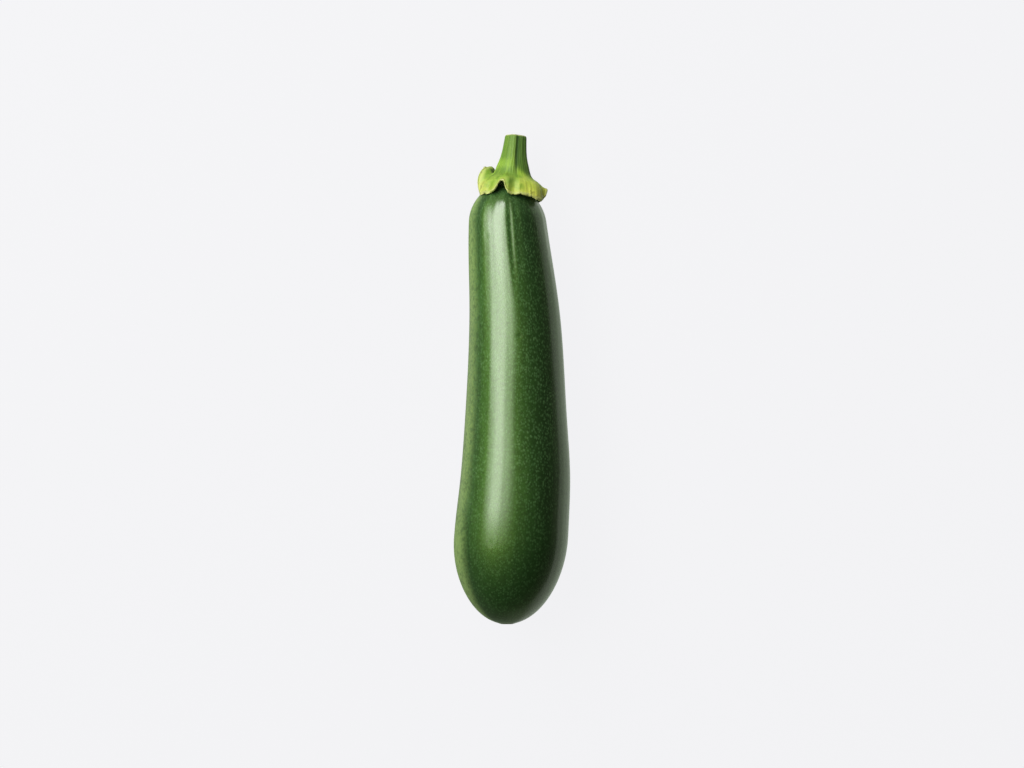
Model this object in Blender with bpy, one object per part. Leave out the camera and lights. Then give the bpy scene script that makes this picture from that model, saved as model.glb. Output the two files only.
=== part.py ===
"""A courgette as picked, lying on its side: the fruit, and the cut stem with its lobed skirt.

Metres, +Z up. The stem points towards +Y, and the origin is on the table, under the middle of
the courgette's box.
Angles round the fruit and the stem are measured from straight up towards +X.
Run it with: blender --background --python part.py
"""

import math

import bmesh
import bpy
import numpy as np
from mathutils import Vector

MM = 0.001

# The fruit, measured from its blossom end
FRUIT_LENGTH = 180.6 * MM
BLOSSOM_END = 35.6 * MM  # length of the rounded blossom end
SHOULDER = 15.8 * MM  # length of the rounded shoulder at the stem
# distance from the blossom end, radius, sideways drift of the middle line, in millimetres
FRUIT_STATIONS = (
    (0, 23.0, 0.0),
    (40, 23.2, 2.0),
    (60, 22.4, 3.3),
    (86, 20.8, 3.6),
    (125, 18.6, 3.1),
    (165, 15.8, 0.2),
    (182, 14.3, -0.7),
)
FACET_DEPTH = 0.011  # share of the radius, for the five flat sides at the neck
RIB_DEPTH = 0.0044  # share of the radius, for the soft ribs
RIB_COUNT = 8
FACET_TURN = math.radians(-20)  # the middle of one flat side
PLAIN_UNTIL = 0.25  # share of the length where the flat sides and ribs begin

# The sharpest crease of the neck, which runs out towards the middle
CREASE_TURN = math.radians(3.5)
CREASE_DEPTH = 0.38 * MM
CREASE_WIDTH = 1.1 * MM  # from its middle to where it is a third as deep
CREASE_FROM = 130.0 * MM
CREASE_FADE = 30.0 * MM

# How it lies: a slightly bellied underside, worn flat where it touches
UNDERSIDE_ARC = 3200 * MM  # radius of the underside's long curve
REST_AT = 82 * MM  # the middle of the flat spot, under the weight
FLAT_DEPTH = 0.5 * MM  # how much the flat spot cuts into the round

# The scar where the flower dropped off
SCAR_RADIUS = 2.6 * MM
SCAR_DEPTH = 0.25 * MM

# The stem's seat on the fruit
SEAT_AT = 178.6 * MM
SEAT_DRIFT = 2.4 * MM  # towards +X from the fruit's middle line
SEAT_RADIUS = 6.4 * MM
SEAT_GAP = 0.3 * MM
SKIRT_GAP = 0.45 * MM
STEM_LEAN = math.radians(5.3)  # towards +X
STEM_DIP = math.radians(6.0)  # towards the table

# The stem, measured from its seat, and its outer line, measured from the cut end
STEM_LENGTH = 21.6 * MM
CUT_RADIUS = 4.35 * MM
CUT_ROUNDING = 1.0 * MM
SKIRT_FROM = 15.5 * MM  # where the skirt leaves the stalk
SKIRT_WIDTH = 11.9 * MM  # from there to its edge
SKIRT_THICK = 1.5 * MM  # where it leaves the stalk
EDGE_THICK = 0.8 * MM
EDGE_BULGE = 0.3  # share of the last ring's width that the edge bulges past it
# distance along the outer line in millimetres, slope in degrees: 0 runs down the stem, 90 out
STEM_SLOPES = (
    (0, 4),
    (6, 8),
    (9.5, 16),
    (11.5, 20),
    (14, 18),
    (16, 30),
    (18, 53),
    (20, 50),
    (22.5, 26),
    (27.4, -2),
)
STALK_GROOVES = 5
GROOVE_DEPTH = 0.10  # share of the radius
GROOVE_WIDTH = math.radians(7)
GROOVE_TURN = math.radians(10)
CORNER_DEPTH = 0.045  # share of the radius, for the stalk's five rounded corners
CORNER_TURN = math.radians(-9)
GROOVES_FADE = 15.0 * MM  # height over the seat where the grooves have their full depth
RIDGES_PER_SIDE = 3
RIDGE_SHARE = 0.13  # share of the groove's depth
FOLD_POWER = 3  # over 2 gives a fold steeper sides
# folds of the skirt: angle, half width, turn of its inner half, turn of its edge, change of its width
SKIRT_FOLDS = (
    (-20, 9.0, 8, 30, -4.9),
    (-22, 22, 0, 4, -0.4),
    (4, 8.0, -10, -6, -0.5),
    (-46, 7.0, -6, -6, 0.0),
    (-70, 12, -2, -8, 0.8),
    (-83, 9.0, 4, 12, -2.4),
    (-97, 16, 104, 88, -5.6),
    (-123, 15, 112, 60, -2.6),
    (-148, 12, 50, 40, -3.0),
    (57, 17, 2, 0, 1.6),
    (80, 9.0, -4, 12, -1.8),
    (101, 10, 10, 62, -3.1),
    (133, 10, 0, 20, -2.4),
    (165, 16, 0, -6, 0.0),
)

# share of the cut's radius and drop below the top, from the middle out
CUT_FACE = ((0.0, 0.0), (0.45, 0.0), (0.8, 0.08 * MM), (0.94, 0.3 * MM))
# share of the seat's radius and height over the seat, from the skirt's underside in
FOOT = ((1.02, 1.6 * MM), (1.0, 0.0), (0.55, 0.0), (0.0, 0.0))

# Mesh counts
FRUIT_COLUMNS = 64
SHOULDER_RINGS = 11
BODY_RINGS = 15
BLOSSOM_RINGS = 15
STEM_COLUMNS = 90
STALK_RINGS = 11
SKIRT_RINGS = 12
WALK_STEPS = 120
TIP_CROWDING = 1.25  # over 1 brings the last rings closer together at the scar

SKIN_COLOUR = (0.045, 0.105, 0.023, 1.0)
STEM_COLOUR = (0.30, 0.47, 0.09, 1.0)


def smooth_step(share):
    """0 to 1 with level ends."""
    share = np.clip(share, 0.0, 1.0)
    return share * share * (3 - 2 * share)


def curve_through(stations, at, column=1):
    """The value of one column at a distance, on a smooth curve through the stations."""
    table = np.array(stations, float)
    known, values = table[:, 0], table[:, column]
    slopes = np.gradient(values, known)
    left = np.clip(np.searchsorted(known, at) - 1, 0, len(known) - 2)
    width = known[left + 1] - known[left]
    share = np.clip((at - known[left]) / width, 0.0, 1.0)
    rise = values[left + 1] - values[left]
    pull = share * (1 - share) * (
        (1 - share) * (slopes[left] * width - rise) - share * (slopes[left + 1] * width - rise)
    )
    return values[left] + rise * share + pull


def body_radius(along):
    """The fruit's radius, before its ends are rounded off."""
    return curve_through(FRUIT_STATIONS, along / MM, 1) * MM


def middle_line(along):
    """The fruit's middle line: across (x) and up (z). Its height keeps the underside on its long curve."""
    belly = (along - REST_AT) ** 2 / (2 * UNDERSIDE_ARC) - FLAT_DEPTH
    return curve_through(FRUIT_STATIONS, along / MM, 2) * MM, body_radius(along) + belly


def shoulder_left(along):
    """How much of the shoulder is left before the fruit's stem end: 1 at its start, 0 at the end."""
    return (FRUIT_LENGTH - along) / SHOULDER


def skin_radius(along, angle):
    """The fruit's radius with its rounded ends, flat sides and ribs."""
    blossom = np.clip(1 - along / BLOSSOM_END, 0.0, 1.0)
    shoulder = np.clip((along - FRUIT_LENGTH + SHOULDER) / SHOULDER, 0.0, 1.0)
    rounded = np.sqrt(1 - blossom**2) * np.sqrt(1 - shoulder**2)
    grown = smooth_step((along / FRUIT_LENGTH - PLAIN_UNTIL) / (1 - PLAIN_UNTIL))
    facets = FACET_DEPTH * np.cos(STALK_GROOVES * (angle - FACET_TURN))
    ribs = RIB_DEPTH * np.cos(RIB_COUNT * (angle - FACET_TURN))
    away = ((angle - CREASE_TURN + math.pi) % math.tau - math.pi) * body_radius(along)
    runs = smooth_step((along - CREASE_FROM) / CREASE_FADE) * smooth_step(shoulder_left(along))
    crease = CREASE_DEPTH * runs * np.exp(-((away / CREASE_WIDTH) ** 2))
    return body_radius(along) * rounded * (1 - grown * (facets + ribs)) - crease


def seat_place():
    """The middle of the stem's seat on the fruit, and the way that the stem points."""
    across, up = middle_line(SEAT_AT)
    axis = np.array(
        (
            math.sin(STEM_LEAN) * math.cos(STEM_DIP),
            math.cos(STEM_LEAN) * math.cos(STEM_DIP),
            -math.sin(STEM_DIP),
        )
    )
    return np.array((float(across) + SEAT_DRIFT, SEAT_AT, float(up))), axis


def fruit_distances():
    """Where the fruit's rings lie along it, from the stem to the blossom end."""
    round_off = np.sin(np.linspace(math.pi / 2, 0, SHOULDER_RINGS))
    shoulder = FRUIT_LENGTH - SHOULDER * (1 - round_off)
    body = np.linspace(FRUIT_LENGTH - SHOULDER, BLOSSOM_END, BODY_RINGS)[1:]
    to_tip = np.linspace(1, 0, BLOSSOM_RINGS)[1:] ** TIP_CROWDING
    blossom = BLOSSOM_END * (1 - np.cos(math.pi / 2 * to_tip))
    return np.concatenate([shoulder, body, blossom])


def fruit_rings():
    """The fruit's surface as rings of points, with the seat, the scar and the flat spot."""
    along = fruit_distances()[:, None]
    angle = np.linspace(0, math.tau, FRUIT_COLUMNS, endpoint=False)[None, :]
    radius = skin_radius(along, angle)
    across, up = middle_line(along)
    dish = SCAR_DEPTH * (1 - smooth_step(radius / SCAR_RADIUS)) * (along < FRUIT_LENGTH / 2)
    points = np.stack(
        [across + radius * np.sin(angle), along + dish, up + radius * np.cos(angle)], axis=-1
    )
    seat, axis = seat_place()
    above = np.maximum((points - seat) @ axis, 0.0)
    points -= above[..., None] * axis
    points[..., 2] = np.maximum(points[..., 2], 0.0)
    return points


def bump(angle, centre, half_width):
    """1 at the centre, fading to nothing a little past the half width."""
    away = (angle - math.radians(centre) + math.pi) % math.tau - math.pi
    return np.exp(-(np.abs(away / math.radians(half_width)) ** FOLD_POWER))


def folded(angle, column):
    """What the skirt's folds add at an angle, from one column of their table."""
    return sum(fold[column] * bump(angle, fold[0], fold[1]) for fold in SKIRT_FOLDS)


def stem_line(angle):
    """The stem's outer line at each angle, from the cut end to the skirt's edge: radius and height."""
    walked = np.linspace(0, 1, WALK_STEPS + 1)[:, None]
    width = SKIRT_WIDTH + folded(angle, 4) * MM
    length = SKIRT_FROM + width
    along = walked * length
    onto_skirt = np.clip((along - SKIRT_FROM) / width, 0.0, 1.0)
    unfolded = np.minimum(along, SKIRT_FROM) + onto_skirt * SKIRT_WIDTH
    drape = curve_through(STEM_SLOPES, unfolded / MM)
    inner = smooth_step(onto_skirt * 4) * smooth_step(2 - onto_skirt * 2.5)
    outer = smooth_step(onto_skirt * 1.7 - 0.6)
    slope = np.radians(drape + folded(angle, 2) * inner + folded(angle, 3) * outer)
    middle = (slope[1:] + slope[:-1]) / 2
    step = length / WALK_STEPS
    start = np.zeros_like(slope[:1])
    radius = CUT_RADIUS + np.concatenate([start, np.cumsum(np.sin(middle) * step, axis=0)])
    drop = np.concatenate([start, np.cumsum(np.cos(middle) * step, axis=0)])
    height = STEM_LENGTH - CUT_ROUNDING - drop
    return radius, height


def stalk_section(angle, height):
    """What the stalk's grooves and fine ridges multiply its radius by. They fade into the skirt."""
    fade = smooth_step(height / GROOVES_FADE)
    half = math.pi / STALK_GROOVES
    nearest = (angle - GROOVE_TURN + half) % (2 * half) - half
    groove = np.exp(-((nearest / GROOVE_WIDTH) ** 2))
    ridge = RIDGE_SHARE * np.cos(RIDGES_PER_SIDE * STALK_GROOVES * angle)
    corner = CORNER_DEPTH * np.cos(STALK_GROOVES * (angle - CORNER_TURN))
    return 1 + fade * (corner - GROOVE_DEPTH * (groove + ridge - RIDGE_SHARE))


def stem_point(radius, height, angle):
    """A point of the stem, from its radius, height over the seat and angle."""
    seat, axis = seat_place()
    over = np.array((0.0, 0.0, 1.0)) - axis * axis[2]
    over /= np.linalg.norm(over)
    side = np.cross(axis, over)
    out = np.cos(angle)[..., None] * over + np.sin(angle)[..., None] * side
    return seat + (height + SEAT_GAP)[..., None] * axis + radius[..., None] * out


def clear_of_fruit(points, gap):
    """The points, moved out from the fruit's middle line until they are this far clear of its skin."""
    along = np.clip(points[..., 1], 0.0, FRUIT_LENGTH)
    across, up = middle_line(along)
    out = points[..., [0, 2]] - np.stack([across, up], axis=-1)
    distance = np.linalg.norm(out, axis=-1)
    needed = skin_radius(along, np.arctan2(out[..., 0], out[..., 1])) + gap
    moved = np.maximum(distance, needed) / distance
    clear = points.copy()
    clear[..., 0] = across + out[..., 0] * moved
    clear[..., 2] = up + out[..., 1] * moved
    return clear


def outward(rings):
    """The unit normals of rings of points, pointing out of the stem."""
    down = np.gradient(rings, axis=0)
    around = np.roll(rings, -1, axis=1) - np.roll(rings, 1, axis=1)
    normal = np.cross(down, around)
    return normal / np.linalg.norm(normal, axis=-1, keepdims=True)


def stem_rings():
    """The stem's surface as rings: the cut face, the outside, the edge, the underside and the seat."""
    angle = np.linspace(0, math.tau, STEM_COLUMNS, endpoint=False)[None, :]
    radius, height = stem_line(angle)
    radius = radius * stalk_section(angle, height)
    line = stem_point(radius, height, np.broadcast_to(angle, radius.shape))
    stalk_steps = np.linspace(0, SKIRT_FROM / (SKIRT_FROM + SKIRT_WIDTH), STALK_RINGS)
    skirt_steps = np.linspace(stalk_steps[-1], 1, SKIRT_RINGS)[1:]
    rows = np.round(np.concatenate([stalk_steps, skirt_steps]) * WALK_STEPS).astype(int)
    outside = line[rows]
    normal = outward(line)[rows]
    skirt = slice(len(stalk_steps) - 1, len(rows))
    thick = np.linspace(SKIRT_THICK, EDGE_THICK, len(rows) - skirt.start)[:, None, None]
    outside[skirt] = clear_of_fruit(outside[skirt], SKIRT_GAP + EDGE_THICK)
    underside = clear_of_fruit(outside[skirt] - normal[skirt] * thick, SKIRT_GAP)[::-1]
    edge = (outside[-1:] + underside[:1]) / 2
    edge += (outside[-1:] - outside[-2:-1]) * EDGE_BULGE

    top = np.full(radius[0].shape, STEM_LENGTH)
    flat_angle = angle[0]
    face = [stem_point(radius[0] * share, top - drop, flat_angle) for share, drop in CUT_FACE]
    seat_radius = np.full(top.shape, SEAT_RADIUS)
    foot = [stem_point(seat_radius * share, top * 0.0 + rise, flat_angle) for share, rise in FOOT]
    return np.concatenate([face, outside, edge, underside, foot])


def closed_skin(name, rings, colour, roughness):
    """An object from a sphere moved onto rings of points. The first and last rings are single points."""
    last, columns = len(rings) - 1, rings.shape[1]
    shape = bmesh.new()
    bmesh.ops.create_uvsphere(shape, u_segments=columns, v_segments=last, radius=1.0)
    for vertex in shape.verts:
        ring = round(math.acos(max(-1.0, min(1.0, vertex.co.z))) / math.pi * last)
        column = round(math.atan2(vertex.co.y, vertex.co.x) / math.tau * columns) % columns
        vertex.co = Vector(rings[ring, column])
    mesh = bpy.data.meshes.new(name)
    shape.to_mesh(mesh)
    shape.free()
    mesh.shade_smooth()
    mesh.materials.append(finish(name, colour, roughness))
    return bpy.data.objects.new(name, mesh)


def finish(name, colour, roughness):
    """A plain material of this colour."""
    material = bpy.data.materials.new(name)
    material.use_nodes = True
    shader = material.node_tree.nodes["Principled BSDF"]
    shader.inputs["Base Color"].default_value = colour
    shader.inputs["Roughness"].default_value = roughness
    shader.inputs["Metallic"].default_value = 0.0
    return material


def set_down(holder, pieces):
    """Moves the holder so that the pieces' box stands on the table with its middle over the origin."""
    corners = np.array([vertex.co for piece in pieces for vertex in piece.data.vertices])
    low, high = corners.min(axis=0), corners.max(axis=0)
    holder.location = (-(low[0] + high[0]) / 2, -(low[1] + high[1]) / 2, -low[2])


def main():
    for old in list(bpy.data.objects):
        bpy.data.objects.remove(old)
    collection = bpy.data.collections.new("courgette")
    bpy.context.scene.collection.children.link(collection)
    holder = bpy.data.objects.new("courgette", None)
    collection.objects.link(holder)
    fruit = closed_skin("fruit", fruit_rings(), SKIN_COLOUR, 0.3)
    stem = closed_skin("stem", stem_rings(), STEM_COLOUR, 0.6)
    for piece in (fruit, stem):
        collection.objects.link(piece)
        piece.parent = holder
    set_down(holder, (fruit, stem))


main()
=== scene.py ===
"""How the courgette looks: its glossy, speckled skin and the ridged, ruffled stem, on a pale table."""

import math

import bmesh
import bpy
import numpy as np
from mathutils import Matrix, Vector


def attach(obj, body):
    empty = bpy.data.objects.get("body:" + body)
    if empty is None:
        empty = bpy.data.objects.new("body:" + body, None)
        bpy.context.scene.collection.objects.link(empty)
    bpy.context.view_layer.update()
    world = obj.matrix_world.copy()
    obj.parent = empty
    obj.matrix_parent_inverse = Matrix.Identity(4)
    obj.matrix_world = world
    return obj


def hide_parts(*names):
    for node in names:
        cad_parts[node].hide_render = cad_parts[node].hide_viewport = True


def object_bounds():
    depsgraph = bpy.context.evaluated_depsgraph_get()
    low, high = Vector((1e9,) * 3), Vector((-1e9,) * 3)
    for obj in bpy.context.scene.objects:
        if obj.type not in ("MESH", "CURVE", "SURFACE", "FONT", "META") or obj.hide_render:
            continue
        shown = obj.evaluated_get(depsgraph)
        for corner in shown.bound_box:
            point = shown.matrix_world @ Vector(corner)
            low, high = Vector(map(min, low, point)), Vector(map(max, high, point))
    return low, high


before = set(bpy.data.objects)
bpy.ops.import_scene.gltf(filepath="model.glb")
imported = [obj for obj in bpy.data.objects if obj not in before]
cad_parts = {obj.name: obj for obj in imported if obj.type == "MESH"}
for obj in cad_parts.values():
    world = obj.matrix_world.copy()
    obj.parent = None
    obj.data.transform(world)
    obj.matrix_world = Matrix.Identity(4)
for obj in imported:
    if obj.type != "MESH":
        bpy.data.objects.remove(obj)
cad_low, cad_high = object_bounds()

MM = 0.001

# The fruit, measured from its blossom end, as the frame has it
FRUIT_LENGTH = 180.6 * MM
BLOSSOM_END = 35.6 * MM
SHOULDER = 15.8 * MM
# distance from the blossom end, radius, sideways drift of the middle line, in millimetres
FRUIT_STATIONS = (
    (0, 23.0, 0.0),
    (40, 23.2, 2.0),
    (60, 22.4, 3.3),
    (86, 20.8, 3.6),
    (125, 18.6, 3.1),
    (165, 15.8, 0.2),
    (182, 14.3, -0.7),
)
FACET_DEPTH = 0.011
RIB_DEPTH = 0.0044
RIB_COUNT = 8
FACET_TURN = math.radians(-20)
PLAIN_UNTIL = 0.25
CREASE_TURN = math.radians(3.5)
CREASE_DEPTH = 0.38 * MM
CREASE_WIDTH = 1.1 * MM
CREASE_FROM = 130.0 * MM
CREASE_FADE = 30.0 * MM
UNDERSIDE_ARC = 3200 * MM
REST_AT = 82 * MM
FLAT_DEPTH = 0.5 * MM
SCAR_RADIUS = 2.6 * MM
SCAR_DEPTH = 0.25 * MM

# The stem's seat on the fruit
SEAT_AT = 178.6 * MM
SEAT_DRIFT = 2.4 * MM
SEAT_RADIUS = 6.4 * MM
SEAT_GAP = 0.3 * MM
SKIRT_GAP = 0.45 * MM
STEM_LEAN = math.radians(5.3)
STEM_DIP = math.radians(6.0)

# The stem, measured from its seat, and its outer line, measured from the cut end
STEM_LENGTH = 21.6 * MM
CUT_RADIUS = 4.35 * MM
CUT_ROUNDING = 1.0 * MM
SKIRT_FROM = 15.5 * MM
SKIRT_WIDTH = 11.9 * MM
SKIRT_THICK = 1.5 * MM
EDGE_THICK = 0.8 * MM
EDGE_BULGE = 0.3
# distance along the outer line in millimetres, slope in degrees: 0 runs down the stem, 90 out
STEM_SLOPES = (
    (0, 4),
    (6, 8),
    (9.5, 16),
    (11.5, 20),
    (14, 18),
    (16, 30),
    (18, 53),
    (20, 50),
    (22.5, 26),
    (27.4, -2),
)
STALK_GROOVES = 5
GROOVE_DEPTH = 0.10
GROOVE_WIDTH = math.radians(7)
GROOVE_TURN = math.radians(10)
CORNER_DEPTH = 0.045
CORNER_TURN = math.radians(-9)
GROOVES_FADE = 15.0 * MM
RIDGES_PER_SIDE = 3
RIDGE_SHARE = 0.13
FOLD_POWER = 3
# folds of the skirt: angle, half width, turn of its inner half, turn of its edge, change of its width
SKIRT_FOLDS = (
    (-20, 9.0, 8, 30, -4.9),
    (-22, 22, 0, 4, -0.4),
    (4, 8.0, -10, -6, -0.5),
    (-46, 7.0, -6, -6, 0.0),
    (-70, 12, -2, -8, 0.8),
    (-83, 9.0, 4, 12, -2.4),
    (-97, 16, 104, 88, -5.6),
    (-123, 15, 112, 60, -2.6),
    (-148, 12, 50, 40, -3.0),
    (57, 17, 2, 0, 1.6),
    (80, 9.0, -4, 12, -1.8),
    (101, 10, 10, 62, -3.1),
    (133, 10, 0, 20, -2.4),
    (165, 16, 0, -6, 0.0),
)
# share of the cut's radius and drop below the top, from the middle out
CUT_FACE = ((0.0, 0.0), (0.45, 0.0), (0.8, 0.08 * MM), (0.94, 0.3 * MM))
# share of the seat's radius and height over the seat, from the skirt's underside in
FOOT = ((1.02, 1.6 * MM), (1.0, 0.0), (0.55, 0.0), (0.0, 0.0))

# Fine surface
FRUIT_COLUMNS = 300
SHOULDER_RINGS = 56
BODY_RINGS = 190
BLOSSOM_RINGS = 60
TIP_CROWDING = 1.25
STEM_COLUMNS = 360
WALK_STEPS = 150
# how far from the fruit's middle line its waves and pits reach their full height
WAVES_FADE = 6 * MM
# slow waves of the skin: height in millimetres, waves around, turn along the fruit, start
SLOW_WAVES = ((0.09, 3, 7.1, 0.0), (0.07, 2, -11.3, 1.3), (0.05, 5, 17.9, 0.4))
# the pits' places as a share of the fruit's length, their sizes and depths in millimetres
PITS = 70
PIT_SEED = 11
PIT_PLACES = (0.06, 0.94)
PIT_SIZES = (0.55, 1.1)
PIT_DEPTHS = (0.05, 0.16)
SCAR_RIM_WIDTH = 0.9 * MM
SCAR_RIM_HEIGHT = 0.16 * MM
LIP = 0.28 * MM
FIBRE_HEIGHT = 0.035 * MM
# the radius of the straight rods that the skin's and the stalk's patterns are laid on
SKIN_ROD = 20 * MM
STALK_ROD = 6 * MM

# Seen from above, as in the photo: the width of the view and where it looks
VIEW_WIDTH = 418.8 * MM
VIEW_CENTRE = (0.0, -2.2 * MM)
VIEW_HEIGHT = 2.0
SENSOR = 36.0

# The softbox over the table: long strips side by side, and how bright each is from left to right
STRIPS_FROM = 57.0
STRIP_TURN = 6.0
SOFTBOX_STRIPS = (2.2, 7.2, 11.2, 12.4, 12.0, 10.2, 6.2, 3.6, 2.2, 1.0)
STRIP_DISTANCE = 0.9
STRIP_LENGTH = 2.1
STRIP_MIDDLE = 0.955

# The skin's colours, as linear red, green and blue. A pair is the darkest and the palest of an area
# Painted light and shade: the skin is painted paler on its left side, where the light falls, and darker
# on its right side, in its shade
PAINTED_LIGHT_LEFT_GREENS = ((0.010, 0.034, 0.007), (0.024, 0.072, 0.012))
PAINTED_SHADE_RIGHT_GREENS = ((0.0040, 0.014, 0.004), (0.0090, 0.030, 0.0075))
# painted shade: the blossom end darkened where it turns away from the light
BLOSSOM_PAINTED_SHADE_GREEN = (0.0045, 0.020, 0.005)
NECK_GREEN = (0.006, 0.018, 0.008)
# painted rim light: a pale band along the fruit's left edge
PAINTED_RIM_LIGHT_GREEN = (0.180, 0.270, 0.080)
# painted rim light, fainter, along the fruit's right edge
PAINTED_RIGHT_RIM_GREEN = (0.045, 0.130, 0.016)
MOTTLE_GREEN = (0.006, 0.018, 0.006)
GRAIN_GREEN = (0.004, 0.013, 0.004)
FINE_FLECK_GREEN = (0.038, 0.090, 0.030)
FLECK_GREEN = (0.066, 0.130, 0.050)
HALO_GREEN = (0.085, 0.140, 0.035)
CORK_BROWNS = ((0.085, 0.060, 0.030), (0.230, 0.175, 0.095))

# The colours of the stalk, and then of the skirt from the stalk out to its rim
STALK_GREENS = ((0.075, 0.145, 0.012), (0.142, 0.235, 0.026))
STALK_TOP_GREEN = (0.058, 0.120, 0.010)
# painted light low on the stalk's left side
STALK_PAINTED_LIGHT_GREEN = (0.230, 0.370, 0.032)
# painted shade on the stalk's right side
STALK_PAINTED_SHADE_GREEN = (0.040, 0.092, 0.010)
FIBRE_GREEN = (0.055, 0.130, 0.012)
# painted shade in the stalk's main groove
GROOVE_PAINTED_SHADE_GREEN = (0.012, 0.038, 0.004)
# painted light on the stalk's foot where it flares out on the right
FLARE_PAINTED_LIGHT_GREEN = (0.260, 0.400, 0.034)
SKIRT_NEAR_GREENS = ((0.110, 0.200, 0.014), (0.185, 0.275, 0.032))
SKIRT_FAR_GREENS = ((0.230, 0.330, 0.026), (0.390, 0.450, 0.060))
# painted light on a band of the skirt's right side
SKIRT_PAINTED_LIGHT_GREEN = (0.480, 0.570, 0.070)
SKIRT_FIBRE_GREEN = (0.085, 0.180, 0.018)
# painted shade in the skirt's fold beside the notch
VALLEY_PAINTED_SHADE_GREEN = (0.052, 0.100, 0.009)
OUTER_GREENS = ((0.235, 0.290, 0.034), (0.400, 0.400, 0.055))
# painted light on the same band near the skirt's rim
OUTER_PAINTED_LIGHT_YELLOW = (0.570, 0.580, 0.090)
NEAR_EDGE_GREEN = (0.340, 0.390, 0.105)
PATCH_YELLOW = (0.440, 0.420, 0.070)
BLOTCH_GREEN = (0.110, 0.115, 0.018)
SPECK_BROWN = (0.130, 0.100, 0.035)
RIM_GREEN = (0.335, 0.355, 0.120)
UNDERSIDE_GREEN = (0.190, 0.280, 0.070)
CUT_STRAW = (0.330, 0.340, 0.150)

# How the skin and the stem take the light, the same all over
SKIN_SHINE = {
    "IOR": 1.5,
    "Specular IOR Level": 0.58,
    "Specular Tint": (0.58, 1.0, 0.16, 1.0),
    "Coat IOR": 1.5,
    "Coat Roughness": 0.17,
    "Sheen Weight": 0.09,
    "Sheen Roughness": 0.35,
    "Sheen Tint": (0.45, 0.85, 0.25, 1.0),
}
STEM_SHINE = {
    "IOR": 1.45,
    "Specular IOR Level": 0.35,
    "Subsurface Weight": 0.08,
    "Subsurface Scale": 2 * MM,
    "Subsurface Radius": (0.6, 1.0, 0.3),
}

# The table's light: as the camera sees it, and as the skin mirrors it from the left to the far right
TABLE_SEEN = (0.876, 0.876, 0.893)
TABLE_LEFT = (0.22, 0.22, 0.22)
TABLE_RIGHT = (0.64, 0.70, 0.61)
TABLE_FAR_RIGHT = (0.04, 0.04, 0.04)
TABLE_PAINT = (0.015, 0.015, 0.015)
ROOM_SEEN = (0.86, 0.86, 0.87)
ROOM_MIRRORED = (0.025, 0.026, 0.028)


def smooth_step(share):
    """0 to 1 with level ends."""
    share = np.clip(share, 0.0, 1.0)
    return share * share * (3 - 2 * share)


def curve_through(stations, at, column=1):
    """The value of one column at a distance, on a smooth curve through the stations."""
    table = np.array(stations, float)
    known, values = table[:, 0], table[:, column]
    slopes = np.gradient(values, known)
    left = np.clip(np.searchsorted(known, at) - 1, 0, len(known) - 2)
    width = known[left + 1] - known[left]
    share = np.clip((at - known[left]) / width, 0.0, 1.0)
    rise = values[left + 1] - values[left]
    pull = share * (1 - share) * (
        (1 - share) * (slopes[left] * width - rise) - share * (slopes[left + 1] * width - rise)
    )
    return values[left] + rise * share + pull


def body_radius(along):
    """The fruit's radius, before its ends are rounded off."""
    return curve_through(FRUIT_STATIONS, along / MM, 1) * MM


def middle_line(along):
    """The fruit's middle line: across (x) and up (z)."""
    belly = (along - REST_AT) ** 2 / (2 * UNDERSIDE_ARC) - FLAT_DEPTH
    return curve_through(FRUIT_STATIONS, along / MM, 2) * MM, body_radius(along) + belly


def shoulder_left(along):
    """How much of the shoulder is left before the fruit's stem end: 1 at its start, 0 at the end."""
    return (FRUIT_LENGTH - along) / SHOULDER


def skin_radius(along, angle):
    """The fruit's radius with its rounded ends, flat sides and ribs."""
    blossom = np.clip(1 - along / BLOSSOM_END, 0.0, 1.0)
    shoulder = np.clip((along - FRUIT_LENGTH + SHOULDER) / SHOULDER, 0.0, 1.0)
    rounded = np.sqrt(1 - blossom**2) * np.sqrt(1 - shoulder**2)
    grown = smooth_step((along / FRUIT_LENGTH - PLAIN_UNTIL) / (1 - PLAIN_UNTIL))
    facets = FACET_DEPTH * np.cos(STALK_GROOVES * (angle - FACET_TURN))
    ribs = RIB_DEPTH * np.cos(RIB_COUNT * (angle - FACET_TURN))
    away = ((angle - CREASE_TURN + math.pi) % math.tau - math.pi) * body_radius(along)
    runs = smooth_step((along - CREASE_FROM) / CREASE_FADE) * smooth_step(shoulder_left(along))
    crease = CREASE_DEPTH * runs * np.exp(-((away / CREASE_WIDTH) ** 2))
    return body_radius(along) * rounded * (1 - grown * (facets + ribs)) - crease


def seat_place():
    """The middle of the stem's seat on the fruit, and the way that the stem points."""
    across, up = middle_line(SEAT_AT)
    axis = np.array(
        (
            math.sin(STEM_LEAN) * math.cos(STEM_DIP),
            math.cos(STEM_LEAN) * math.cos(STEM_DIP),
            -math.sin(STEM_DIP),
        )
    )
    return np.array((float(across) + SEAT_DRIFT, SEAT_AT, float(up))), axis


def fruit_distances():
    """Where the fruit's rings lie along it, from the stem to the blossom end."""
    round_off = np.sin(np.linspace(math.pi / 2, 0, SHOULDER_RINGS))
    shoulder = FRUIT_LENGTH - SHOULDER * (1 - round_off)
    body = np.linspace(FRUIT_LENGTH - SHOULDER, BLOSSOM_END, BODY_RINGS)[1:]
    to_tip = np.linspace(1, 0, BLOSSOM_RINGS)[1:] ** TIP_CROWDING
    blossom = BLOSSOM_END * (1 - np.cos(math.pi / 2 * to_tip))
    return np.concatenate([shoulder, body, blossom])


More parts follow.
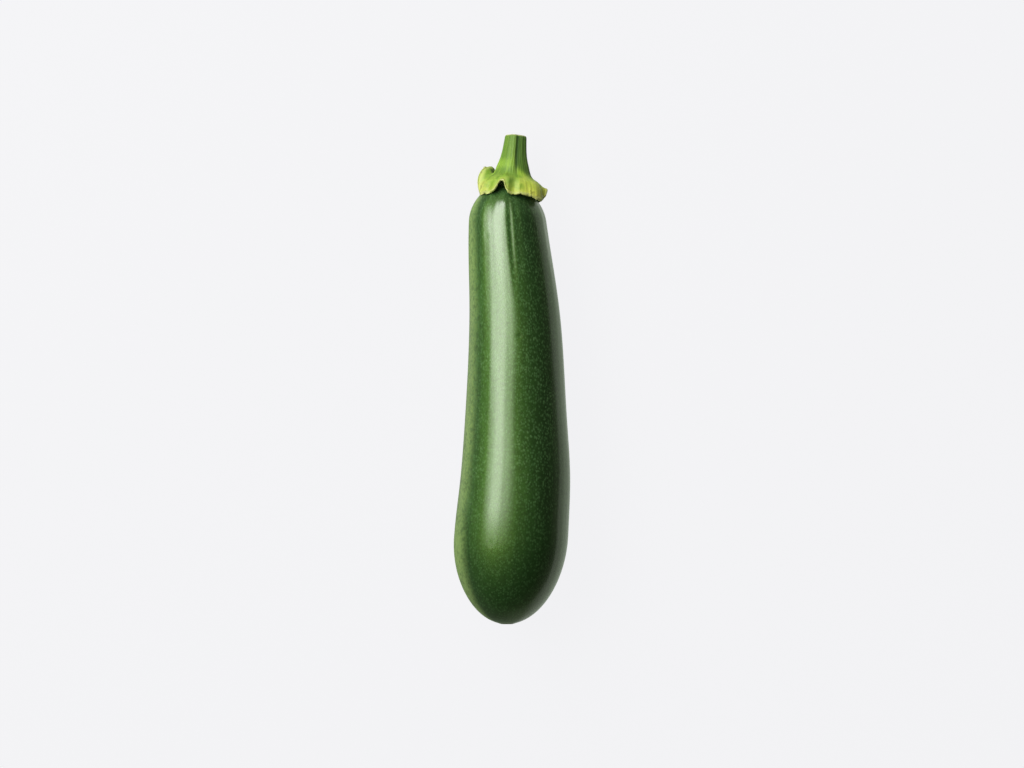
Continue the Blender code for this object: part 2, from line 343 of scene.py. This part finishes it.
def growth_waves(along, angle):
    """Faint unevenness of the skin, in metres: slow swellings, lengthwise veins, creases on the neck."""
    step = along / FRUIT_LENGTH
    slow = sum(
        high * np.sin(waves * angle + turn * step + start) for high, waves, turn, start in SLOW_WAVES
    )
    veins = 0.010 * np.sin(23 * angle + 2.1 * np.sin(4 * step))
    veins = veins + 0.007 * np.sin(37 * angle - 5 * step)
    neck = smooth_step((step - 0.62) / 0.33)
    creases = 0.16 * neck * (np.cos(10 * angle + 0.9) * 0.5 + np.cos(17 * angle - 0.6) * 0.35)
    ends = smooth_step(step / 0.12) * smooth_step((1 - step) / 0.06)
    return (slow + veins + creases) * ends * MM


def small_pits(along, angle):
    """Shallow pits scattered over the skin, in metres."""
    draw = np.random.default_rng(PIT_SEED)
    depth = np.zeros(np.broadcast(along, angle).shape)
    for _ in range(PITS):
        at = draw.uniform(*PIT_PLACES) * FRUIT_LENGTH
        turn = draw.uniform(-math.pi, math.pi)
        size = draw.uniform(*PIT_SIZES) * MM
        deep = draw.uniform(*PIT_DEPTHS) * MM
        rows = np.abs(along[:, 0] - at) < 4 * size
        away = (angle - turn + math.pi) % math.tau - math.pi
        sideways = away * body_radius(at)
        depth[rows] += deep * np.exp(-((along[rows] - at) ** 2 + sideways**2) / size**2)
    return depth


def fruit_rings():
    """The fruit's surface as rings of points, and each point's place on the straightened fruit."""
    along = fruit_distances()[:, None]
    angle = np.linspace(0, math.tau, FRUIT_COLUMNS, endpoint=False)[None, :]
    radius = skin_radius(along, angle)
    off_the_tip = np.clip(radius / WAVES_FADE, 0.0, 1.0)
    radius = radius + off_the_tip * (growth_waves(along, angle) - small_pits(along, angle))
    across, up = middle_line(along)
    centre = 1 - smooth_step(radius / SCAR_RADIUS)
    rim = np.exp(-(((radius - 0.92 * SCAR_RADIUS) / SCAR_RIM_WIDTH) ** 2)) * SCAR_RIM_HEIGHT
    rays = 0.5 + 0.5 * np.cos(5 * angle) * smooth_step(radius / (2 * MM))
    dish = (SCAR_DEPTH * centre * (0.8 + 0.2 * rays) - rim) * (along < FRUIT_LENGTH / 2)
    points = np.stack(
        [across + radius * np.sin(angle), along + dish, up + radius * np.cos(angle)], axis=-1
    )
    seat, axis = seat_place()
    above = np.maximum((points - seat) @ axis, 0.0)
    points -= above[..., None] * axis
    points[..., 2] = np.maximum(points[..., 2], 0.0)
    rod = SKIN_ROD * np.clip(radius / body_radius(along), 0.0, 1.0)
    straight = np.stack(
        [rod * np.sin(angle), np.broadcast_to(along, radius.shape), rod * np.cos(angle)], axis=-1
    )
    return points, {"straightened": straight}


def bump(angle, centre, half_width):
    """1 at the centre, fading to nothing a little past the half width."""
    away = (angle - math.radians(centre) + math.pi) % math.tau - math.pi
    return np.exp(-(np.abs(away / math.radians(half_width)) ** FOLD_POWER))


def folded(angle, column):
    """What the skirt's folds add at an angle, from one column of their table."""
    return sum(fold[column] * bump(angle, fold[0], fold[1]) for fold in SKIRT_FOLDS)


def torn_edge(angle):
    """Small waves of the skirt's width, in metres."""
    broad = 0.16 * np.sin(13 * angle + 0.7)
    fine = 0.10 * np.sin(29 * angle + 2.0) + 0.06 * np.sin(53 * angle)
    return (broad + fine) * MM


def stem_line(angle):
    """The stem's outer line at each angle, from the cut end to the skirt's edge."""
    walked = np.linspace(0, 1, WALK_STEPS + 1)[:, None]
    width = SKIRT_WIDTH + folded(angle, 4) * MM + torn_edge(angle)
    length = SKIRT_FROM + width
    along = walked * length
    onto_skirt = np.clip((along - SKIRT_FROM) / width, 0.0, 1.0)
    unfolded = np.minimum(along, SKIRT_FROM) + onto_skirt * SKIRT_WIDTH
    drape = curve_through(STEM_SLOPES, unfolded / MM)
    inner = smooth_step(onto_skirt * 4) * smooth_step(2 - onto_skirt * 2.5)
    outer = smooth_step(onto_skirt * 1.7 - 0.6)
    slope = np.radians(drape + folded(angle, 2) * inner + folded(angle, 3) * outer)
    middle = (slope[1:] + slope[:-1]) / 2
    step = length / WALK_STEPS
    start = np.zeros_like(slope[:1])
    radius = CUT_RADIUS + np.concatenate([start, np.cumsum(np.sin(middle) * step, axis=0)])
    drop = np.concatenate([start, np.cumsum(np.cos(middle) * step, axis=0)])
    height = STEM_LENGTH - CUT_ROUNDING - drop
    return radius, height, onto_skirt


def stalk_section(angle, height):
    """What the stalk's grooves and fine ridges multiply its radius by. They fade into the skirt."""
    fade = smooth_step(height / GROOVES_FADE)
    half = math.pi / STALK_GROOVES
    nearest = (angle - GROOVE_TURN + half) % (2 * half) - half
    groove = np.exp(-((nearest / GROOVE_WIDTH) ** 2))
    ridge = RIDGE_SHARE * np.cos(RIDGES_PER_SIDE * STALK_GROOVES * angle)
    corner = CORNER_DEPTH * np.cos(STALK_GROOVES * (angle - CORNER_TURN))
    return 1 + fade * (corner - GROOVE_DEPTH * (groove + ridge - RIDGE_SHARE)), groove * fade


def fibres(angle, height):
    """The stem's fine lengthwise fibres, as a height in metres."""
    wander = 0.25 * np.sin(height / (4.1 * MM)) + 0.18 * np.sin(height / (2.3 * MM) + 2 * angle)
    fine = np.cos(41 * angle + wander) + 0.7 * np.cos(67 * angle - 1.3 * wander + 0.8)
    return FIBRE_HEIGHT * fine


def stem_point(radius, height, angle):
    """A point of the stem, from its radius, height over the seat and angle."""
    seat, axis = seat_place()
    over = np.array((0.0, 0.0, 1.0)) - axis * axis[2]
    over /= np.linalg.norm(over)
    side = np.cross(axis, over)
    out = np.cos(angle)[..., None] * over + np.sin(angle)[..., None] * side
    return seat + (height + SEAT_GAP)[..., None] * axis + radius[..., None] * out


def clear_of_fruit(points, gap):
    """The points, moved out from the fruit's middle line until they are this far clear of its skin."""
    along = np.clip(points[..., 1], 0.0, FRUIT_LENGTH)
    across, up = middle_line(along)
    out = points[..., [0, 2]] - np.stack([across, up], axis=-1)
    distance = np.linalg.norm(out, axis=-1)
    needed = skin_radius(along, np.arctan2(out[..., 0], out[..., 1])) + gap
    moved = np.maximum(distance, needed) / distance
    clear = points.copy()
    clear[..., 0] = across + out[..., 0] * moved
    clear[..., 2] = up + out[..., 1] * moved
    return clear


def outward(rings):
    """The unit normals of rings of points, pointing out of the stem."""
    down = np.gradient(rings, axis=0)
    around = np.roll(rings, -1, axis=1) - np.roll(rings, 1, axis=1)
    normal = np.cross(down, around)
    return normal / np.linalg.norm(normal, axis=-1, keepdims=True)


def stem_rings():
    """The stem's surface as rings, and for each point how it grew: what its finish follows."""
    angle = np.linspace(0, math.tau, STEM_COLUMNS, endpoint=False)[None, :]
    radius, height, onto_skirt = stem_line(angle)
    section, groove = stalk_section(angle, height)
    radius = radius * section + fibres(angle, height) * (1 - 0.6 * onto_skirt)
    line = stem_point(radius, height, np.broadcast_to(angle, radius.shape))
    first_skirt = round(SKIRT_FROM / (SKIRT_FROM + SKIRT_WIDTH) * WALK_STEPS)
    outside = line.copy()
    normal = outward(line)
    skirt = slice(first_skirt, len(line))
    thick = np.linspace(SKIRT_THICK, EDGE_THICK, len(line) - first_skirt)[:, None, None]
    lip = LIP * np.exp(-(((onto_skirt[skirt] - 0.96) / 0.045) ** 2))
    lipped = outside[skirt] + normal[skirt] * lip[..., None]
    outside[skirt] = clear_of_fruit(lipped, SKIRT_GAP + EDGE_THICK)
    underside = clear_of_fruit(outside[skirt] - normal[skirt] * thick, SKIRT_GAP)[::-1]
    edge = (outside[-1:] + underside[:1]) / 2
    edge += (outside[-1:] - outside[-3:-2]) * EDGE_BULGE

    top = np.full(radius[0].shape, STEM_LENGTH)
    flat_angle = angle[0]
    face = [stem_point(radius[0] * share, top - drop, flat_angle) for share, drop in CUT_FACE]
    seat_radius = np.full(top.shape, SEAT_RADIUS)
    foot = [stem_point(seat_radius * share, top * 0.0 + rise, flat_angle) for share, rise in FOOT]
    points = np.concatenate([face, outside, edge, underside, foot])

    def rows(face_value, outside_value, edge_value, underside_value, foot_value):
        """One value for each point, from values for the face, outside, edge, underside and foot."""
        counts = (len(face), len(outside), 1, len(underside), len(foot))
        values = (face_value, outside_value, edge_value, underside_value, foot_value)
        shape = radius.shape[1:]
        return np.concatenate(
            [np.broadcast_to(value, (count,) + shape) for count, value in zip(counts, values)]
        )

    grown_height = rows(STEM_LENGTH, height, height[-1:], height[skirt][::-1], 0.0)
    turn = rows(angle, angle, angle, angle, angle)
    straight = np.stack([STALK_ROD * np.sin(turn), grown_height, STALK_ROD * np.cos(turn)], axis=-1)
    skirt_share = rows(0.0, onto_skirt, 1.0, onto_skirt[skirt][::-1], 0.0)
    marks = np.stack(
        [
            skirt_share,
            rows(0.0, groove, 0.0, 0.0, 0.0),
            rows(0.0, 0.0, 0.0, 1.0, 1.0),
        ],
        axis=-1,
    )
    return points, {"straightened": straight, "marks": marks}


def closed_skin(name, rings, grown):
    """An object: a sphere moved onto rings of points, with what its finish follows as attributes."""
    last, columns = len(rings) - 1, rings.shape[1]
    shape = bmesh.new()
    bmesh.ops.create_uvsphere(shape, u_segments=columns, v_segments=last, radius=1.0)
    rows, places = [], []
    for vertex in shape.verts:
        rows.append(round(math.acos(max(-1.0, min(1.0, vertex.co.z))) / math.pi * last))
        places.append(round(math.atan2(vertex.co.y, vertex.co.x) / math.tau * columns) % columns)
        vertex.co = Vector(rings[rows[-1], places[-1]])
    mesh = bpy.data.meshes.new(name)
    shape.to_mesh(mesh)
    shape.free()
    for label, values in grown.items():
        attribute = mesh.attributes.new(label, "FLOAT_VECTOR", "POINT")
        attribute.data.foreach_set("vector", values[rows, places].astype(np.float32).ravel())
    mesh.shade_smooth()
    piece = bpy.data.objects.new(name, mesh)
    bpy.context.scene.collection.objects.link(piece)
    return piece


def lay_in_frame(pieces):
    """Moves the pieces' meshes together so that their box has the frame's middle and floor."""
    corners = np.array([vertex.co for piece in pieces for vertex in piece.data.vertices])
    low, high = corners.min(axis=0), corners.max(axis=0)
    middle = (Vector(low) + Vector(high)) / 2
    goal = (cad_low + cad_high) / 2
    shift = Vector((goal.x - middle.x, goal.y - middle.y, cad_low.z - low[2]))
    for piece in pieces:
        for vertex in piece.data.vertices:
            vertex.co += shift


class Level:
    """A number that varies over a surface. Arithmetic on it adds Math nodes."""

    def __init__(self, finish, socket):
        self.finish = finish
        self.socket = socket

    def math(self, operation, first, second):
        """Two levels or numbers through a Math node."""
        node = self.finish.node("ShaderNodeMath", {"operation": operation}, {0: first, 1: second})
        return Level(self.finish, node.outputs[0])

    def __add__(self, other):
        return self.math("ADD", self, other)

    def __radd__(self, other):
        return self.math("ADD", other, self)

    def __sub__(self, other):
        return self.math("SUBTRACT", self, other)

    def __rsub__(self, other):
        return self.math("SUBTRACT", other, self)

    def __mul__(self, other):
        return self.math("MULTIPLY", self, other)

    def __rmul__(self, other):
        return self.math("MULTIPLY", other, self)

    def __pow__(self, other):
        return self.math("POWER", self, other)

    def step(self, low, high):
        """0 below the first number, 1 above the second, smooth between. The numbers may fall."""
        settings = {"interpolation_type": "SMOOTHSTEP"}
        values = {0: self, 1: low, 2: high, 3: 0.0, 4: 1.0}
        if low > high:
            values = {0: self, 1: high, 2: low, 3: 1.0, 4: 0.0}
        return Level(self.finish, self.finish.node("ShaderNodeMapRange", settings, values).outputs[0])


def opaque(colour):
    """A colour of three numbers with its alpha. A link stays as it is."""
    return (*colour, 1.0) if isinstance(colour, tuple) else colour


class Finish:
    """A material whose patterns are built from nodes."""

    def __init__(self, name, constants):
        self.material = bpy.data.materials.new(name)
        self.material.use_nodes = True
        self.tree = self.material.node_tree
        self.shader = self.tree.nodes["Principled BSDF"]
        self.set_sockets(self.shader, constants)

    def node(self, kind, settings, sockets):
        """A node of this kind, with its settings, then the values or links of its sockets."""
        node = self.tree.nodes.new(kind)
        for key, value in settings.items():
            setattr(node, key, value)
        self.set_sockets(node, sockets)
        return node

    def set_sockets(self, node, sockets):
        """Puts a number, colour, level or link on each socket."""
        for key, value in sockets.items():
            if isinstance(value, Level):
                value = value.socket
            if isinstance(value, bpy.types.NodeSocket):
                self.tree.links.new(value, node.inputs[key])
            else:
                node.inputs[key].default_value = value

    def grown(self, label):
        """The vector that the mesh holds under this name."""
        return self.node("ShaderNodeAttribute", {"attribute_name": label}, {}).outputs["Vector"]

    def parts(self, vector):
        """The three numbers of a vector."""
        node = self.node("ShaderNodeSeparateXYZ", {}, {0: vector})
        return [Level(self, socket) for socket in node.outputs]

    def stretched(self, vector, scale):
        """The vector with each of its numbers scaled."""
        return self.node("ShaderNodeMapping", {}, {"Vector": vector, "Scale": scale}).outputs[0]

    def noise(self, vector, scale, detail=2.0, roughness=0.5, distortion=0.0):
        """Cloudy noise, about 0.5 in the middle."""
        values = {
            "Vector": vector,
            "Scale": scale,
            "Detail": detail,
            "Roughness": roughness,
            "Distortion": distortion,
        }
        return Level(self, self.node("ShaderNodeTexNoise", {}, values).outputs[0])

    def cells(self, vector, scale, randomness=1.0):
        """The distance to the nearest of scattered points, and a random number for each point."""
        values = {"Vector": vector, "Scale": scale, "Randomness": randomness}
        node = self.node("ShaderNodeTexVoronoi", {}, values)
        return Level(self, node.outputs["Distance"]), self.parts(node.outputs["Color"])[0]

    def mix(self, share, first, second):
        """The first colour, going over to the second as the share goes from 0 to 1."""
        sockets = {0: share, 6: opaque(first), 7: opaque(second)}
        return self.node("ShaderNodeMix", {"data_type": "RGBA"}, sockets).outputs[2]

    def relief(self, height, distance, strength, under=None):
        """A bump from a height level, over another bump if one is given."""
        values = {"Height": height, "Distance": distance, "Strength": strength}
        if under is not None:
            values["Normal"] = under
        return self.node("ShaderNodeBump", {}, values).outputs[0]

    def wear(self, **sockets):
        """Links the patterns to the shader. An underscore in a name stands for a space."""
        self.set_sockets(self.shader, {key.replace("_", " "): value for key, value in sockets.items()})


class Skin(Finish):
    """Glossy dark green skin with pale flecks, faint lengthwise streaks and a corky blossom scar."""

    def __init__(self):
        super().__init__("skin", SKIN_SHINE)
        self.straight = self.grown("straightened")
        self.across, self.along, up = self.parts(self.straight)
        self.clouds = self.noise(self.straight, 60.0, 3.0)
        self.mottle = self.noise(self.straight, 420.0, 3.0, 0.6)
        self.crumbs = self.noise(self.straight, 1500.0, 4.0, 0.7)
        aside = self.across * (self.across * self.across + up * up) ** -0.5
        self.turned = aside + (self.clouds - 0.5) * 0.10
        # painted rim light: where the skin turns to its left edge, towards the light
        self.painted_rim_light = self.turned.step(-0.74, -0.96)

        flecked = self.stretched(self.straight, (1.0, 0.72, 1.0))
        distance, draw = self.cells(flecked, 860.0)
        self.flecks = distance.step(0.44, 0.18) * draw.step(0.0, 0.9)
        distance, draw = self.cells(flecked, 1250.0)
        self.fine_flecks = distance.step(0.55, 0.28) * draw.step(0.0, 0.6)

        length = self.node("ShaderNodeVectorMath", {"operation": "LENGTH"}, {0: self.straight})
        from_scar = Level(self, length.outputs["Value"])
        ragged = from_scar + (self.noise(self.straight, 900.0, 3.0) - 0.5) * (1.4 * MM)
        self.halo = ragged.step(5.8 * MM, 3.0 * MM)
        self.cork = ragged.step(3.0 * MM, 2.3 * MM)

        self.wear(
            Base_Color=self.scarred(self.speckled(self.greens())),
            Roughness=0.49 + 0.06 * self.mottle + 0.05 * self.flecks + 0.25 * self.cork,
            Normal=self.texture(),
            Coat_Weight=self.gloss(),
        )

    def greens(self):
        """Streaked green, with painted light on the left side and a painted rim light along the left
        edge, painted shade on the right with a fainter painted rim light at the right edge, and darker
        at both ends, as painted shade at the blossom end.
        """
        streaks = self.noise(self.stretched(self.straight, (1.0, 0.09, 1.0)), 330.0, 3.0, 0.6)
        bands = self.noise(self.stretched(self.straight, (1.0, 0.05, 1.0)), 95.0, 2.0)
        shade = streaks.step(0.35, 0.7) * 0.35 + bands.step(0.36, 0.66) * 0.45
        shade = shade + self.clouds.step(0.3, 0.7) * 0.2
        # painted light on the left side and painted shade on the right side, blended across the fruit
        # below
        left = self.mix(shade, *PAINTED_LIGHT_LEFT_GREENS)
        right = self.mix(shade, *PAINTED_SHADE_RIGHT_GREENS)
        side = self.across + (self.clouds - 0.5) * (6 * MM)
        green = self.mix(side.step(14 * MM, -6 * MM), right, left)
        # painted shade towards the blossom end
        green = self.mix(self.along.step(56 * MM, 24 * MM) * 0.84, green, BLOSSOM_PAINTED_SHADE_GREEN)
        green = self.mix(self.along.step(130 * MM, 168 * MM) * 0.40, green, NECK_GREEN)
        # painted rim light along the left edge
        green = self.mix(self.painted_rim_light * 0.84, green, PAINTED_RIM_LIGHT_GREEN)
        # a fainter painted rim light along the right edge
        return self.mix(self.turned.step(0.80, 0.95) * 0.45, green, PAINTED_RIGHT_RIM_GREEN)

    def speckled(self, green):
        """The green with dark mottling and grain, and pale flecks that thin out at the blossom end."""
        grain = self.noise(self.straight, 1000.0, 1.0).step(0.48, 0.68)
        patches = 0.45 + 0.55 * self.clouds.step(0.38, 0.62)
        body = 0.25 + 0.75 * self.along.step(30 * MM, 75 * MM)
        fine = self.fine_flecks * (0.35 + 0.28 * self.along.step(25 * MM, 70 * MM))
        green = self.mix(self.mottle.step(0.50, 0.66) * 0.40, green, MOTTLE_GREEN)
        green = self.mix(grain * (0.55 - 0.40 * self.painted_rim_light), green, GRAIN_GREEN)
        green = self.mix(fine, green, FINE_FLECK_GREEN)
        return self.mix(self.flecks * patches * body * 0.55, green, FLECK_GREEN)

    def scarred(self, green):
        """The green with the corky blossom scar and the pale ring round it."""
        green = self.mix(self.halo * 0.5, green, HALO_GREEN)
        brown = self.mix(self.crumbs.step(0.35, 0.65), *CORK_BROWNS)
        return self.mix(self.cork, green, brown)

    def texture(self):
        """The skin's fine relief: soft lumps, a fine peel, raised flecks and crumbly cork."""
        peel = self.noise(self.straight, 1100.0, 2.0)
        lumps = self.noise(self.stretched(self.straight, (1.0, 0.4, 1.0)), 260.0, 2.0)
        normal = self.relief(lumps, 0.12 * MM, 0.35)
        normal = self.relief(peel, 0.05 * MM, 0.5, normal)
        normal = self.relief(self.flecks, 0.02 * MM, 0.5, normal)
        return self.relief(self.crumbs * self.cork, 0.4 * MM, 0.8, normal)

    def gloss(self):
        """How strong the waxy shine is: most on the neck, little at the blossom end, none on cork."""
        coat = 0.62 + 0.07 * self.along.step(50 * MM, 90 * MM)
        coat = coat + 0.25 * self.along.step(130 * MM, 165 * MM)
        coat = coat - 0.50 * self.along.step(51 * MM, 33 * MM) * self.turned.step(0.80, 0.50)
        beside_band = self.turned.step(0.42, 0.54) * self.turned.step(0.86, 0.76)
        dull = self.turned.step(-0.45, -0.55) + beside_band
        coat = coat - 0.58 * self.along.step(125 * MM, 155 * MM) * dull
        return coat * (1 - 0.95 * self.cork)


class Stem(Finish):
    """Light green stalk with fine fibres, a skirt that yellows to a pale rim, and a dry cut face."""

    def __init__(self):
        super().__init__("stem", STEM_SHINE)
        straight = self.grown("straightened")
        place = self.node("ShaderNodeTexCoord", {}, {}).outputs["Object"]
        self.across, self.height, _ = self.parts(straight)
        self.skirt, self.groove, self.under = self.parts(self.grown("marks"))
        self.fibre = self.noise(self.stretched(straight, (1.0, 0.07, 1.0)), 1900.0, 3.0, 0.6)
        self.broad = self.noise(self.stretched(straight, (1.0, 0.10, 1.0)), 620.0, 2.0)
        self.clouds = self.noise(place, 330.0, 3.0, 0.55)
        self.fine = self.noise(place, 1500.0, 3.0, 0.6)
        self.patches = self.noise(place, 210.0, 2.0)
        self.specks = self.cells(place, 760.0)[0]
        self.far_side = (self.across + (self.clouds - 0.5) * (3.0 * MM)).step(1.4 * MM, 5.6 * MM)
        # painted light: a paler band on the skirt's right side, where the light falls
        painted_light_band = (self.across + (self.clouds - 0.5) * (1.6 * MM)).step(1.2 * MM, 3.8 * MM)
        self.painted_light_band = painted_light_band * self.across.step(6.6 * MM, 4.8 * MM)

        onto_skirt = (self.skirt + (self.clouds - 0.5) * 0.25).step(0.04, 0.50)
        colour = self.yellowed(self.mix(onto_skirt, self.stalk(), self.cloth()))
        self.wear(
            Base_Color=self.trimmed(self.blemished(colour)),
            Roughness=0.46 + 0.18 * self.fine + 0.35 * self.groove.step(0.05, 0.50),
            Normal=self.texture(),
        )

    def stalk(self):
        """The stalk's green, with painted light low on its left and on the flared foot at its right,
        painted shade on its right half, and painted shade darkest in its main groove.
        """
        across, height = self.across, self.height
        up_right = height + (across - 1 * MM) * 0.7
        # painted light low on the stalk's left side, where the light falls
        low = height.step(12.5 * MM, 9.5 * MM) * height.step(5.8 * MM, 8.6 * MM)
        painted_low_light = low * across.step(0.4 * MM, -1.2 * MM)
        # painted shade on the stalk's right half, away from the light, fading out low down
        right_half = (across + (self.broad - 0.5) * (1.0 * MM)).step(0.3 * MM, 1.2 * MM)
        painted_shade = right_half * up_right.step(7.0 * MM, 9.8 * MM)
        # painted shade, darkest in the main groove
        groove_shade = self.groove.step(0.10, 0.60) * across.step(-3.0 * MM, -1.0 * MM)
        # painted light on the right of the stalk's foot, where it flares out
        painted_flare_light = across.step(0.8 * MM, 2.2 * MM) * up_right.step(8.4 * MM, 5.8 * MM)
        green = self.mix(self.broad.step(0.35, 0.65), *STALK_GREENS)
        green = self.mix(height.step(8.0 * MM, 19.0 * MM) * 0.7, green, STALK_TOP_GREEN)
        green = self.mix(painted_low_light * 0.35, green, STALK_PAINTED_LIGHT_GREEN)
        green = self.mix(self.fibre.step(0.50, 0.66) * 0.32, green, FIBRE_GREEN)
        green = self.mix(painted_shade * 0.75, green, STALK_PAINTED_SHADE_GREEN)
        green = self.mix(groove_shade * 0.8, green, GROOVE_PAINTED_SHADE_GREEN)
        return self.mix(painted_flare_light * 0.65, green, FLARE_PAINTED_LIGHT_GREEN)

    def cloth(self):
        """The skirt's green: paler on its right with a band of painted light there, and painted shade in
        the fold beside the notch.
        """
        near = self.mix(self.clouds.step(0.36, 0.64), *SKIRT_NEAR_GREENS)
        far = self.mix(self.clouds.step(0.36, 0.64), *SKIRT_FAR_GREENS)
        green = self.mix(self.far_side, near, far)
        green = self.mix(self.painted_light_band * 0.65, green, SKIRT_PAINTED_LIGHT_GREEN)
        # painted shade in the fold beside the notch, where the skirt turns from the light
        low_side = self.across + self.skirt * (2.2 * MM) + (self.clouds - 0.5) * (1.0 * MM)
        fold_shade = low_side.step(-0.2 * MM, 1.0 * MM) * low_side.step(2.6 * MM, 1.2 * MM)
        fold_shade = fold_shade * self.skirt.step(0.10, 0.45)
        green = self.mix(fold_shade * 0.65, green, VALLEY_PAINTED_SHADE_GREEN)
        return self.mix(self.fibre.step(0.48, 0.70) * 0.18, green, SKIRT_FIBRE_GREEN)

    def yellowed(self, colour):
        """The colour with the skirt's outer part gone yellow, in uneven patches, and paler in the band
        of painted light on its right.
        """
        wave = self.skirt + (self.clouds - 0.5) * 0.22
        outer = self.mix(self.far_side, *OUTER_GREENS)
        outer = self.mix(self.painted_light_band, outer, OUTER_PAINTED_LIGHT_YELLOW)
        colour = self.mix(wave.step(0.55, 0.95) * 0.75, colour, outer)
        near_side = self.across.step(-4.2 * MM, -5.7 * MM) * wave.step(0.35, 0.80)
        colour = self.mix(near_side * 0.60, colour, NEAR_EDGE_GREEN)
        yellow = self.patches.step(0.47, 0.60) * self.skirt.step(0.30, 0.75)
        return self.mix(yellow * 0.25, colour, PATCH_YELLOW)

    def blemished(self, colour):
        """The colour with the skirt's dull blotches and small brown specks."""
        blotch = self.clouds.step(0.57, 0.70) * self.skirt.step(0.35, 0.8)
        colour = self.mix(blotch * 0.7, colour, BLOTCH_GREEN)
        speck = self.specks.step(0.30, 0.15) * self.skirt.step(0.5, 0.9)
        return self.mix(speck * self.fine.step(0.5, 0.6) * 0.7, colour, SPECK_BROWN)

    def trimmed(self, colour):
        """The colour with the skirt's pale rim and underside, and the stalk's dry cut face."""
        rim = self.skirt.step(0.880, 0.945) * (1 - self.under)
        colour = self.mix(rim * (0.35 + 0.5 * self.clouds.step(0.62, 0.40)), colour, RIM_GREEN)
        colour = self.mix(self.under * 0.8, colour, UNDERSIDE_GREEN)
        cut = self.height.step(STEM_LENGTH - 0.6 * MM, STEM_LENGTH - 0.1 * MM)
        return self.mix(cut * (0.55 + 0.45 * self.fine), colour, CUT_STRAW)

    def texture(self):
        """The stem's fine relief: fibres, soft dents and a dry grain."""
        normal = self.relief(self.fibre, 0.12 * MM, 0.6)
        normal = self.relief(self.clouds, 0.25 * MM, 0.35, normal)
        return self.relief(self.fine, 0.06 * MM, 0.6, normal)


def table_finish():
    """A pale, even table top that glows a little, so that shadows on it stay faint."""
    matt = {
        "Base Color": opaque(TABLE_PAINT),
        "Roughness": 0.9,
        "Specular IOR Level": 0.0,
        "Emission Strength": 1.0,
    }
    top = Finish("table_top", matt)
    seen = top.node("ShaderNodeLightPath", {}, {}).outputs["Is Camera Ray"]
    across = top.parts(top.node("ShaderNodeTexCoord", {}, {}).outputs["Object"])[0]
    mirrored = top.mix(across.step(-30 * MM, 30 * MM), TABLE_LEFT, TABLE_RIGHT)
    mirrored = top.mix(across.step(115 * MM, 145 * MM), mirrored, TABLE_FAR_RIGHT)
    top.wear(Emission_Color=top.mix(seen, mirrored, TABLE_SEEN))
    return top.material


def dress(piece, node, finish):
    """Puts a fine piece in the place of its plain node."""
    piece.data.materials.append(finish)
    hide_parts(node)
    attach(piece, "root")


def table_top():
    """The wide pale table that the courgette lies on."""
    shape = bmesh.new()
    bmesh.ops.create_grid(shape, x_segments=1, y_segments=1, size=6.0)
    mesh = bpy.data.meshes.new("table_top")
    shape.to_mesh(mesh)
    shape.free()
    mesh.materials.append(table_finish())
    top = bpy.data.objects.new("table_top", mesh)
    bpy.context.scene.collection.objects.link(top)


def softbox(name, direction, brightness):
    """One strip of the curved softbox, this many degrees left of straight up from the courgette."""
    light = bpy.data.lights.new(name, "AREA")
    light.shape = "RECTANGLE"
    light.size = 2 * STRIP_DISTANCE * math.tan(math.radians(STRIP_TURN / 2))
    light.size_y = STRIP_LENGTH
    light.energy = brightness * math.pi * light.size * light.size_y
    lamp = bpy.data.objects.new(name, light)
    turn = math.radians(direction)
    lamp.location = (-STRIP_DISTANCE * math.sin(turn), STRIP_MIDDLE, STRIP_DISTANCE * math.cos(turn))
    lamp.rotation_euler = (0.0, -turn, 0.0)
    bpy.context.scene.collection.objects.link(lamp)


def surroundings():
    """A dim room that the skin mirrors, seen by the camera as a pale wall."""
    room = bpy.data.worlds.new("room")
    room.use_nodes = True
    nodes, links = room.node_tree.nodes, room.node_tree.links
    dim = nodes["Background"]
    dim.inputs["Color"].default_value = opaque(ROOM_MIRRORED)
    pale = nodes.new("ShaderNodeBackground")
    pale.inputs["Color"].default_value = opaque(ROOM_SEEN)
    seen = nodes.new("ShaderNodeLightPath")
    pick = nodes.new("ShaderNodeMixShader")
    links.new(seen.outputs["Is Camera Ray"], pick.inputs[0])
    links.new(dim.outputs[0], pick.inputs[1])
    links.new(pale.outputs[0], pick.inputs[2])
    links.new(pick.outputs[0], nodes["World Output"].inputs[0])
    bpy.context.scene.world = room


def camera():
    """The photo's view: from straight above, with the stem at the top."""
    lens = bpy.data.cameras.new("camera")
    lens.sensor_width = SENSOR
    lens.lens = SENSOR * VIEW_HEIGHT / VIEW_WIDTH
    viewer = bpy.data.objects.new("camera", lens)
    viewer.location = (VIEW_CENTRE[0], VIEW_CENTRE[1], (cad_low.z + cad_high.z) / 2 + VIEW_HEIGHT)
    bpy.context.scene.collection.objects.link(viewer)
    bpy.context.scene.camera = viewer


camera()
bpy.context.scene.view_settings.view_transform = "Standard"
surroundings()
for number, brightness in enumerate(SOFTBOX_STRIPS):
    softbox("softbox_%d" % number, STRIPS_FROM - number * STRIP_TURN, brightness)
table_top()
fruit = closed_skin("fruit_skin", *fruit_rings())
stem = closed_skin("stem_and_skirt", *stem_rings())
lay_in_frame((fruit, stem))
dress(fruit, "fruit", Skin().material)
dress(stem, "stem", Stem().material)
